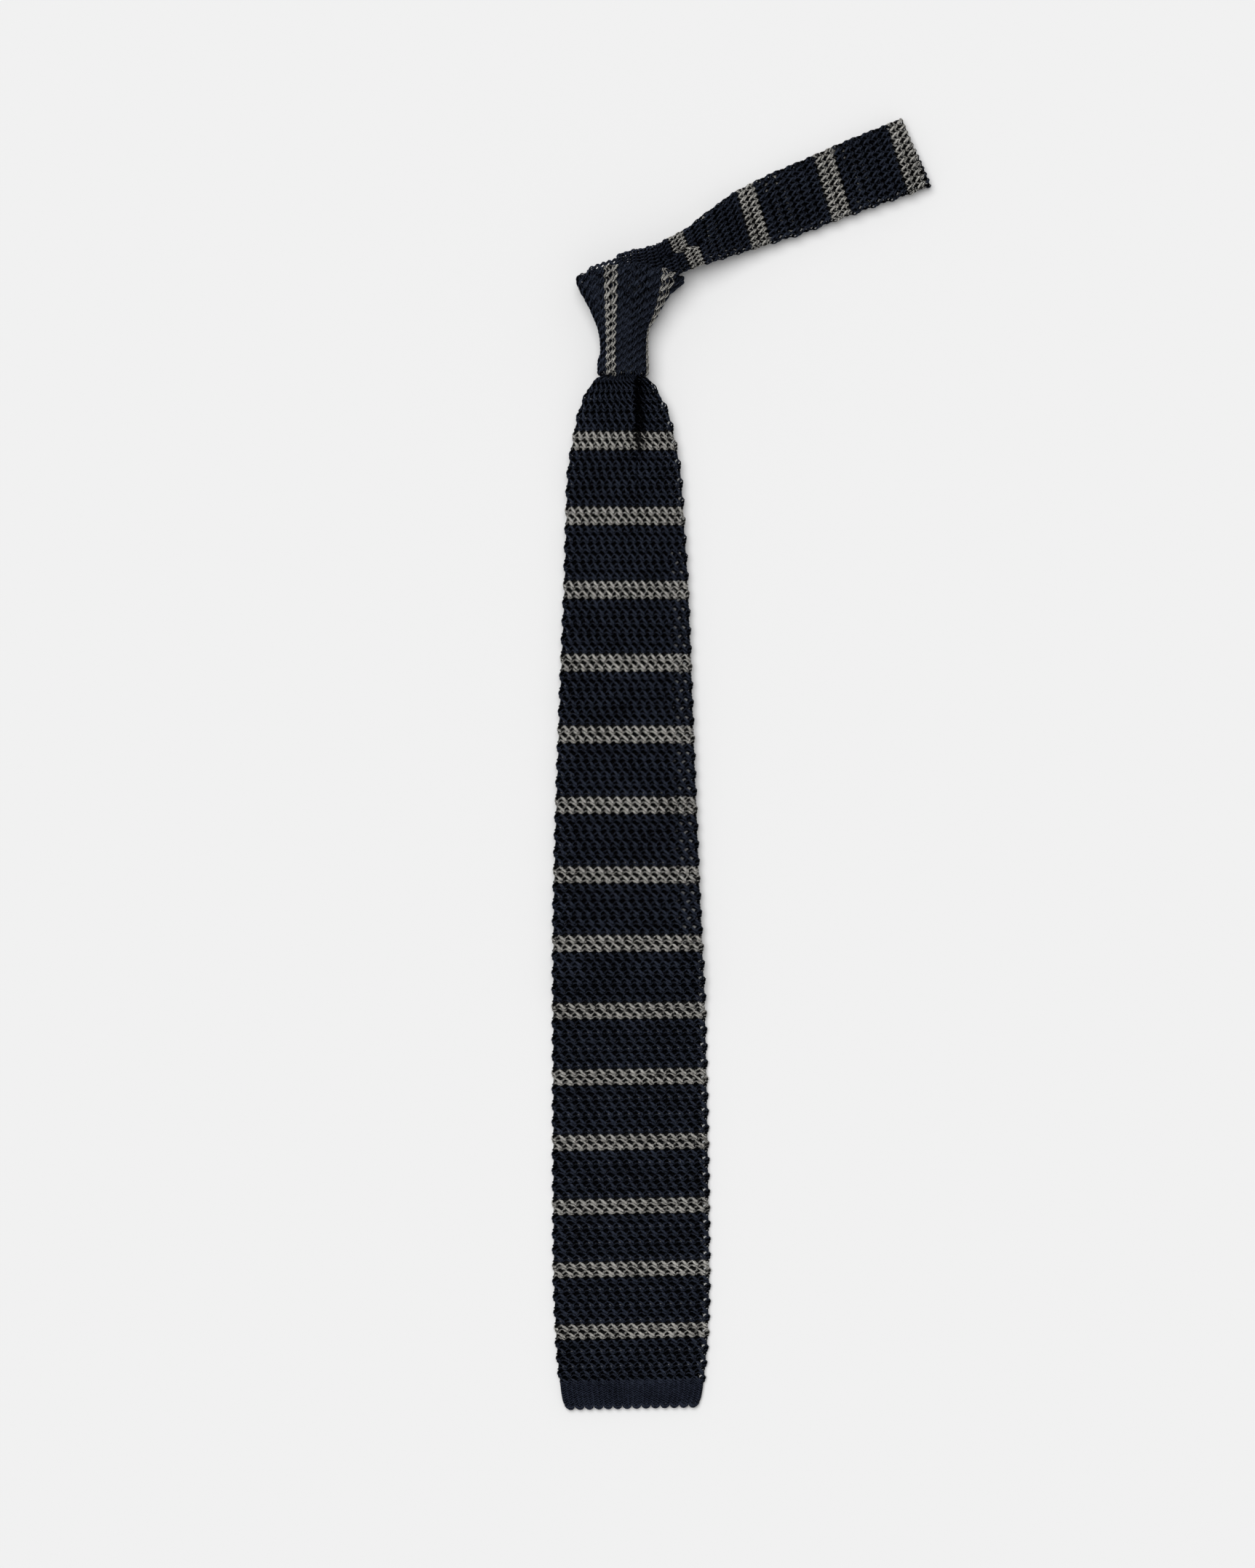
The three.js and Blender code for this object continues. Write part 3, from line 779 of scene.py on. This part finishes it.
def open_knit(name, section, stitches, courses, wales, stripes_end=BLADE_TOP_COURSE, row_step=ROW_STEP):
    """Flat open knit with its two yarns to a course, and the stitches of every other course offset."""
    stitches = [stitch_path(drawn, WALE, COURSE, STITCH_LIFT, steps) for drawn, steps in stitches]
    yarns = []
    for course in courses:
        offset = row_step if course % 2 else -row_step
        for stitch in stitches:
            path = yarn_course(stitch, WALE, wales[0], wales[1], offset)
            finish = 1 if course < stripes_end and is_stripe(course) else 0
            yarns.append((path + [0, course * COURSE, 0], finish))
    return knit(name, section, (navy_yarn, grey_yarn), yarns)


def tight_knit(name, section, wales, courses, hem_loops):
    """Flat tight knit of a cuff: chevron courses above a hem of rounded loops."""
    stitch = stitch_path(CHEVRON, CUFF_WALE, CUFF_COURSE, CUFF_LIFT, CUFF_STEPS)
    yarns = []
    for course in range(courses):
        path = yarn_course(stitch, CUFF_WALE, 0, wales)
        yarns.append((path + [0, HEM_HEIGHT + course * CUFF_COURSE, 0], 0))
    along = np.linspace(0, 1, hem_loops * 6 + 1)
    scallop = np.abs(np.sin(np.pi * hem_loops * along)) ** 0.8
    for depth, height in ((1.0, 0.0), (0.55, 0.15)):
        y = HEM_HEIGHT - HEM_GAP - (SCALLOP_DEPTH - HEM_GAP) * depth * scallop
        yarns.append((np.stack([along * wales * CUFF_WALE, y, np.full(len(y), height)], axis=1), 0))
    return knit(name, section, (cuff_navy,), yarns)


def lay_on_cuff(form, wales):
    """Lays the wales of a cuff once round it, with its courses in millimetres above the hem."""

    def place_points(x, y, z):
        return form.lay(y, x / CUFF_WALE / wales, z)

    return place_points


# Places of the courses on the blade: stripe 0 is the lowest, and the courses grow taller upwards
FIRST_STRIPE = 29.6
FIRST_REPEAT = 23.3
REPEAT_GROWTH = 0.41


def blade_course_place(course):
    repeat = course / STRIPE_REPEAT
    return FIRST_STRIPE + FIRST_REPEAT * repeat + REPEAT_GROWTH / 2 * repeat * (repeat - 1)


# Where the back isn't laid off the face, so that their holes meet: it starts and stops over these
# courses, and reaches from the right edge to these wales
PINHOLES_START = (44, 50)
PINHOLES_STOP = (90, 96)
PINHOLES_REACH = (17.4, 18.6)


def lay_on_blade(form, half_stitch=0.0):
    """Lays cloth on the front blade, the back off the face by a share of a stitch."""

    def place_points(x, y, z):
        course = y / COURSE
        wale = x / WALE
        open_part = smoothstep(course, *PINHOLES_START) * (1 - smoothstep(course, *PINHOLES_STOP))
        off = half_stitch * (1 - open_part * (1 - smoothstep(wale, *PINHOLES_REACH)))
        x = x + WALE * off
        place = blade_course_place(course + off)
        points = form.lay(place, x / WALE / BLADE_WALES, z)
        points[:, 0] += side_step(course)
        return points

    return place_points


def lay_on_turned(form):
    """Courses on the blade where it turns over the knot, counted from the mouth of the knot."""

    def place_points(x, y, z):
        course = y / COURSE
        points = form.lay(course * TURNED_COURSE, x / WALE / TURNED_WALES, z)
        points[:, 0] += side_step(course) * 0.6
        return points

    return place_points


def lay_on_tail(form):
    """Lays cloth all round the narrow blade, with the first course just above its cuff."""
    first_course = TAIL_END + TAIL_BAND_HEIGHT + 2.4

    def place_points(x, y, z):
        course = y / COURSE
        points = form.lay(first_course + course * COURSE, x / WALE / TAIL_WALES, z)
        points[:, 0] += side_step(course)
        return points

    return place_points


# Where the neck band's courses lie: distance from the knot for every eighth course from the fold
NECK_STRIPES = np.array([91.3, 61.5, 28.9, 2.7, -20.0, -42.7])
NECK_STRIPES_END = 28
NECK_SLANT = 0.11

# A crease along the neck band beside the knot shifts its upper half towards the knot
CREASE_SHIFT = 4.0
CREASE_DEPTH = 1.3


def lay_on_neck(form):
    """Lays cloth all round the neck band, its inside half a course off so that holes don't meet."""

    def place_points(x, y, z):
        wale = x / WALE
        share = wale / NECK_WALES
        course = y / COURSE + 0.5 * smoothstep(wale, 12.5, 15) * (1 - smoothstep(wale, 19, 21))
        upper = np.interp(course, STRIPE_REPEAT * np.arange(len(NECK_STRIPES)), NECK_STRIPES)
        beyond = NECK_STRIPES[0] - course * (NECK_STRIPES[0] - NECK_STRIPES[1]) / STRIPE_REPEAT
        place = np.where(course < 0, beyond, upper)
        across = (0.5 - np.abs(2 * (share % 1) - 1)) * NECK_WIDTH
        on_top = np.where(place < NECK_RUN + 10, 1, 0)
        place = place + NECK_SLANT * across * smoothstep(place, -5, 20) * on_top
        near_knot = smoothstep(place, -12, -2) * (1 - smoothstep(place, 8, 20)) * np.where(wale < 12, 1, 0)
        place = place - CREASE_SHIFT * near_knot * smoothstep(across, -1, 2)
        z = z - CREASE_DEPTH * near_knot * np.exp(-(((across - 0.5) / 1.6) ** 2))
        points = form.lay(place, share, z)
        points += np.outer(side_step(course) * 0.7, NECK_ACROSS)
        return points

    return place_points


# Where the wrap's wales lie, and how its courses run round it from the first stripe
WRAP_WALES = 12
WRAP_STRIPE_X = -7.7
WRAP_COURSE_WAIST = 1.95
WRAP_COURSE_TOP = 2.75
WRAP_TOP_SHARE = 0.95


def lay_on_wrap(form, outer, course_step, wale_step, spacing=1.0):
    """Lays a layer of the wrap by the ways round the outer layer, so the layers stay in step."""
    heights = outer.places
    lengths = np.linalg.norm(np.diff(outer.rings, axis=1), axis=2).sum(axis=1)
    stripe_reach = []
    for ring, length in zip(outer.rings, lengths):
        front = ring[: RING_POINTS // 2]
        share = np.interp(WRAP_STRIPE_X, front[:, 0], np.arange(len(front)) / RING_POINTS)
        stripe_reach.append(share * length)
    stripe_reach = np.array(stripe_reach)

    def place_points(x, y, z):
        course = y / COURSE * spacing + course_step
        place = (1 - (x / WALE + wale_step) / WRAP_WALES) * KNOT_HEIGHT * WRAP_TOP_SHARE
        up = smoothstep(place, 0.25 * KNOT_HEIGHT, WRAP_TOP_SHARE * KNOT_HEIGHT)
        course_width = mix(WRAP_COURSE_WAIST, WRAP_COURSE_TOP, up)
        reach = np.interp(place, heights, stripe_reach) + course * course_width
        share = reach / np.interp(place, heights, lengths)
        place = place + side_step(course)
        return form.lay(place, share, z)

    return place_points


def node(tree, kind, **values):
    """A shader node with values for its inputs or its settings."""
    made = tree.nodes.new(kind)
    for key, value in values.items():
        if key in made.inputs:
            made.inputs[key].default_value = value
        else:
            setattr(made, key, value)
    return made


def maths(tree, operation, *values):
    """Result of a math node that works on numbers and on other nodes' results."""
    made = node(tree, "ShaderNodeMath", operation=operation)
    for socket, value in zip(made.inputs, values):
        if isinstance(value, float):
            socket.default_value = value
        else:
            tree.links.new(value, socket)
    return made.outputs[0]


# Painted shade: how fast a yarn is painted darker with its depth in the cloth, for each millimetre, and
# how much the painted highlights of the yarn's ends and the slow drift of colour count beside the painted
# glints
HEIGHT_SHADE = 0.8
RIDGE_LIGHT_SHARE = 0.2
DRIFT_SHARE = 0.25


def yarn_finish(name, dark, light, roughness, gloss, start, end):
    """Silk yarn of fine ends, with painted glints in short dashes and painted shade at its sides and deep
    down.
    """
    finish = bpy.data.materials.new(name)
    finish.use_nodes = True
    tree = finish.node_tree
    link = tree.links.new
    shader = tree.nodes["Principled BSDF"]
    shader.inputs["Roughness"].default_value = roughness
    shader.inputs["Specular IOR Level"].default_value = gloss
    place = node(tree, "ShaderNodeAttribute", attribute_name="yarn_place")
    parts = node(tree, "ShaderNodeSeparateXYZ")
    link(place.outputs["Vector"], parts.inputs[0])
    turn = maths(tree, "MULTIPLY", parts.outputs["Y"], 2 * math.pi / END_SPACING)
    ridge_light = maths(tree, "COSINE", turn)
    stretch = node(tree, "ShaderNodeMapping")
    stretch.inputs["Scale"].default_value = (1.0, 2.2, 1.0)
    glint_dashes = node(tree, "ShaderNodeTexNoise", Scale=1.5, Detail=1.5, Roughness=0.6)
    link(place.outputs["Vector"], stretch.inputs["Vector"])
    link(stretch.outputs["Vector"], glint_dashes.inputs["Vector"])
    spot = node(tree, "ShaderNodeTexCoord")
    drift = node(tree, "ShaderNodeTexNoise", Scale=110.0, Detail=2.0)
    link(spot.outputs["Object"], drift.inputs["Vector"])
    # Painted light: highlights on the ridges of the ends, painted shade in their grooves, and painted
    # glints
    level = maths(tree, "MULTIPLY_ADD", ridge_light, RIDGE_LIGHT_SHARE, glint_dashes.outputs["Fac"])
    drifted = maths(tree, "MULTIPLY_ADD", drift.outputs["Fac"], DRIFT_SHARE, level)
    # Painted shade: yarns deeper in the cloth are painted darker
    painted_level = maths(tree, "MULTIPLY_ADD", parts.outputs["Z"], HEIGHT_SHADE, drifted)
    ramp = node(tree, "ShaderNodeValToRGB")
    ramp.color_ramp.elements[0].position = start
    ramp.color_ramp.elements[0].color = (*dark, 1)
    ramp.color_ramp.elements[1].position = end
    ramp.color_ramp.elements[1].color = (*light, 1)
    link(painted_level, ramp.inputs["Fac"])
    link(ramp.outputs["Color"], shader.inputs["Base Color"])
    bump = node(tree, "ShaderNodeBump", Strength=0.5, Distance=0.00015)
    link(drifted, bump.inputs["Height"])
    link(bump.outputs["Normal"], shader.inputs["Normal"])
    return finish


# Colours of the yarns in painted shade, deep in the cloth, and in painted light
NAVY_PAINTED_SHADE = (0.0002, 0.0003, 0.0008)
NAVY_PAINTED_LIGHT = (0.042, 0.052, 0.080)
CUFF_NAVY_PAINTED_LIGHT = (0.022, 0.027, 0.044)
GREY_PAINTED_SHADE = (0.002, 0.002, 0.002)
GREY_PAINTED_LIGHT = (0.76, 0.74, 0.69)

navy_yarn = yarn_finish(
    "navy_silk_yarn", NAVY_PAINTED_SHADE, NAVY_PAINTED_LIGHT, roughness=0.45, gloss=0.02, start=0.80, end=1.11
)
cuff_navy = yarn_finish(
    "navy_cuff_yarn", NAVY_PAINTED_SHADE, CUFF_NAVY_PAINTED_LIGHT, roughness=0.45, gloss=0.02, start=0.68, end=1.16
)
grey_yarn = yarn_finish(
    "grey_heather_yarn", GREY_PAINTED_SHADE, GREY_PAINTED_LIGHT, roughness=0.5, gloss=0.1, start=0.81, end=1.10
)

# Sections of the yarns: three ends side by side with grooves between them, or one plain end
fine_yarn = yarn_section(
    "fine_yarn_section",
    [(0.46, 0.12), (0.20, -0.02), (0.0, 0.28), (-0.20, -0.02), (-0.46, 0.12), (0.0, -0.24)],
)
plain_yarn = yarn_section("plain_yarn_section", [(0.75, 0.0), (0.0, 0.32), (-0.75, 0.0), (0.0, -0.32)])
back_yarn = yarn_section("back_yarn_section", [(0.84, 0.0), (0.0, 0.32), (-0.84, 0.0), (0.0, -0.32)])
cuff_yarn = yarn_section(
    "cuff_yarn_section", [(0.40, 0.0), (0.2, 0.34), (-0.2, 0.34), (-0.40, 0.0), (0.0, -0.34)]
)

BLADE_FACE_WALES = (-0.6, 16.1)
BLADE_BACK_WALES = (15.5, 30.6)
BLADE_COURSES = range(-7, BLADE_TOP_COURSE)

blade = blade_form()
half = BLADE_COURSES[len(BLADE_COURSES) // 2]
lower_courses = range(BLADE_COURSES[0], half)
upper_courses = range(half, BLADE_COURSES[-1] + 1)
face_lower = open_knit("blade_face_lower", fine_yarn, FACE_STITCHES, lower_courses, BLADE_FACE_WALES)
face_upper = open_knit("blade_face_upper", fine_yarn, FACE_STITCHES, upper_courses, BLADE_FACE_WALES)
blade_back = open_knit(
    "blade_back", back_yarn, BACK_STITCHES, BLADE_COURSES, BLADE_BACK_WALES, row_step=-ROW_STEP
)
for cloth, half_stitch in ((face_lower, 0), (face_upper, 0), (blade_back, 0.5)):
    lay_cloth(cloth, lay_on_blade(blade, half_stitch), dimple_shade)

tail = tail_form()
narrow = open_knit("narrow_blade_knit", plain_yarn, BACK_STITCHES, range(0, 72), (0, TAIL_WALES))
lay_cloth(narrow, lay_on_tail(tail))

neck = neck_form()
neck_face = open_knit("neck_face", fine_yarn, FACE_STITCHES, range(-3, 34), (-0.7, 11.7), NECK_STRIPES_END)
neck_inside = open_knit(
    "neck_inside", plain_yarn, BACK_STITCHES, range(-1, 34), (11.5, 21.5), NECK_STRIPES_END, -ROW_STEP
)
neck_return = open_knit("neck_return", plain_yarn, BACK_STITCHES, range(-32, -3), (0, 22))
for cloth in (neck_face, neck_inside, neck_return):
    lay_cloth(cloth, lay_on_neck(neck))

wrap = wrap_form(LAYER_INSET)
wrap_wales = (-1.1, WRAP_WALES + 0.1)
wrap_face = open_knit("knot_wrap_knit", fine_yarn, FACE_STITCHES, range(-12, 18), wrap_wales)
lay_cloth(wrap_face, lay_on_wrap(wrap, wrap, 0.0, 0.5))

wrap_inside = open_knit(
    "knot_wrap_inside", back_yarn, BACK_STITCHES, range(-15, 23), (-0.6, WRAP_WALES), NO_STRIPES
)
lay_cloth(wrap_inside, lay_on_wrap(wrap_form(INNER_INSET), wrap, 0.5, 0.0, 0.78))

turned = open_knit(
    "blade_turned_over_knot", fine_yarn, FACE_STITCHES, range(7, 19), (0, TURNED_WALES), NO_STRIPES
)
lay_cloth(turned, lay_on_turned(turned_form()))

front_cuff = tight_knit(
    "front_end_band_knit", cuff_yarn, FRONT_CUFF_WALES, FRONT_CUFF_COURSES, FRONT_HEM_LOOPS
)
lay_cloth(front_cuff, lay_on_cuff(front_cuff_form(), FRONT_CUFF_WALES))
tail_cuff = tight_knit(
    "narrow_end_band_knit", cuff_yarn, TAIL_CUFF_WALES, TAIL_CUFF_COURSES, TAIL_HEM_LOOPS
)
lay_cloth(tail_cuff, lay_on_cuff(tail_cuff_form(), TAIL_CUFF_WALES))

# Each cloth with the solid that it stands for, the width and length of its flat knit in millimetres,
# the share of that rectangle that its tapers leave, and how it is held on the cloth under it
CLOTHS = (
    (face_lower, "front_blade", (63, 185), 0.98, "laid", "blade_back"),
    (face_upper, "front_blade", (58, 210), 0.90, "laid", "blade_back"),
    (blade_back, "front_blade", (56, 395), 0.92, "laid", "narrow_blade_knit"),
    (turned, "front_blade", (40, 36), 1.0, "gathered", "knot_wrap_knit"),
    (narrow, "narrow_blade", (79, 235), 0.95, "laid", "narrow_end_band_knit"),
    (neck_face, "neck_band", (33, 118), 0.92, "folded", "neck_inside"),
    (neck_inside, "neck_band", (27, 115), 0.92, "folded", "neck_return"),
    (neck_return, "neck_band", (57, 98), 0.9, "folded", "knot_wrap_knit"),
    (wrap_face, "knot_wrap", (45, 85), 0.95, "gathered", "knot_wrap_inside"),
    (wrap_inside, "knot_wrap", (42, 75), 0.95, "gathered", "blade_turned_over_knot"),
    (front_cuff, "front_end_band", (107, 12), 1.0, "laid", "blade_back"),
    (tail_cuff, "narrow_end_band", (77, 10.5), 1.0, "laid", "narrow_blade_knit"),
)
root = next(iter(frame["bodies"]))
for piece, replaced, (flat_width, flat_length), filled, held, under in CLOTHS:
    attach(piece, root)
    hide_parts(replaced)
for section in (fine_yarn, plain_yarn, back_yarn, cuff_yarn):
    bpy.data.objects.remove(section)


def studio():
    """A pale table, soft light from above and the upper left, and a camera straight overhead."""
    bpy.ops.mesh.primitive_plane_add(size=6)
    floor = bpy.context.object
    floor.name = "table"
    paint = bpy.data.materials.new("pale_table")
    paint.use_nodes = True
    paint.node_tree.nodes["Principled BSDF"].inputs["Base Color"].default_value = (0.86, 0.86, 0.86, 1)
    paint.node_tree.nodes["Principled BSDF"].inputs["Roughness"].default_value = 0.9
    floor.data.materials.append(paint)
    world = bpy.data.worlds.new("studio")
    bpy.context.scene.world = world
    world.use_nodes = True
    world.node_tree.nodes["Background"].inputs["Color"].default_value = (1, 1, 1, 1)
    world.node_tree.nodes["Background"].inputs["Strength"].default_value = 0.3
    bpy.ops.object.light_add(type="SUN", location=(-0.9, 0.9, 1.5))
    key = bpy.context.object
    key.data.angle = math.radians(50)
    key.data.energy = 2.40
    key.rotation_euler = (math.radians(-16), math.radians(-11), 0)
    # The camera's frame at the table is as wide as the photo, in metres
    photo_width = 0.4727
    distance = 2.4
    sensor_width = 36
    bpy.ops.object.camera_add(location=(-0.0429, -0.0075, distance), rotation=(0, 0, 0))
    camera = bpy.context.object
    camera.data.sensor_fit = "HORIZONTAL"
    camera.data.sensor_width = sensor_width
    camera.data.lens = sensor_width * distance / photo_width
    bpy.context.scene.camera = camera
    bpy.context.scene.view_settings.view_transform = "Standard"


studio()
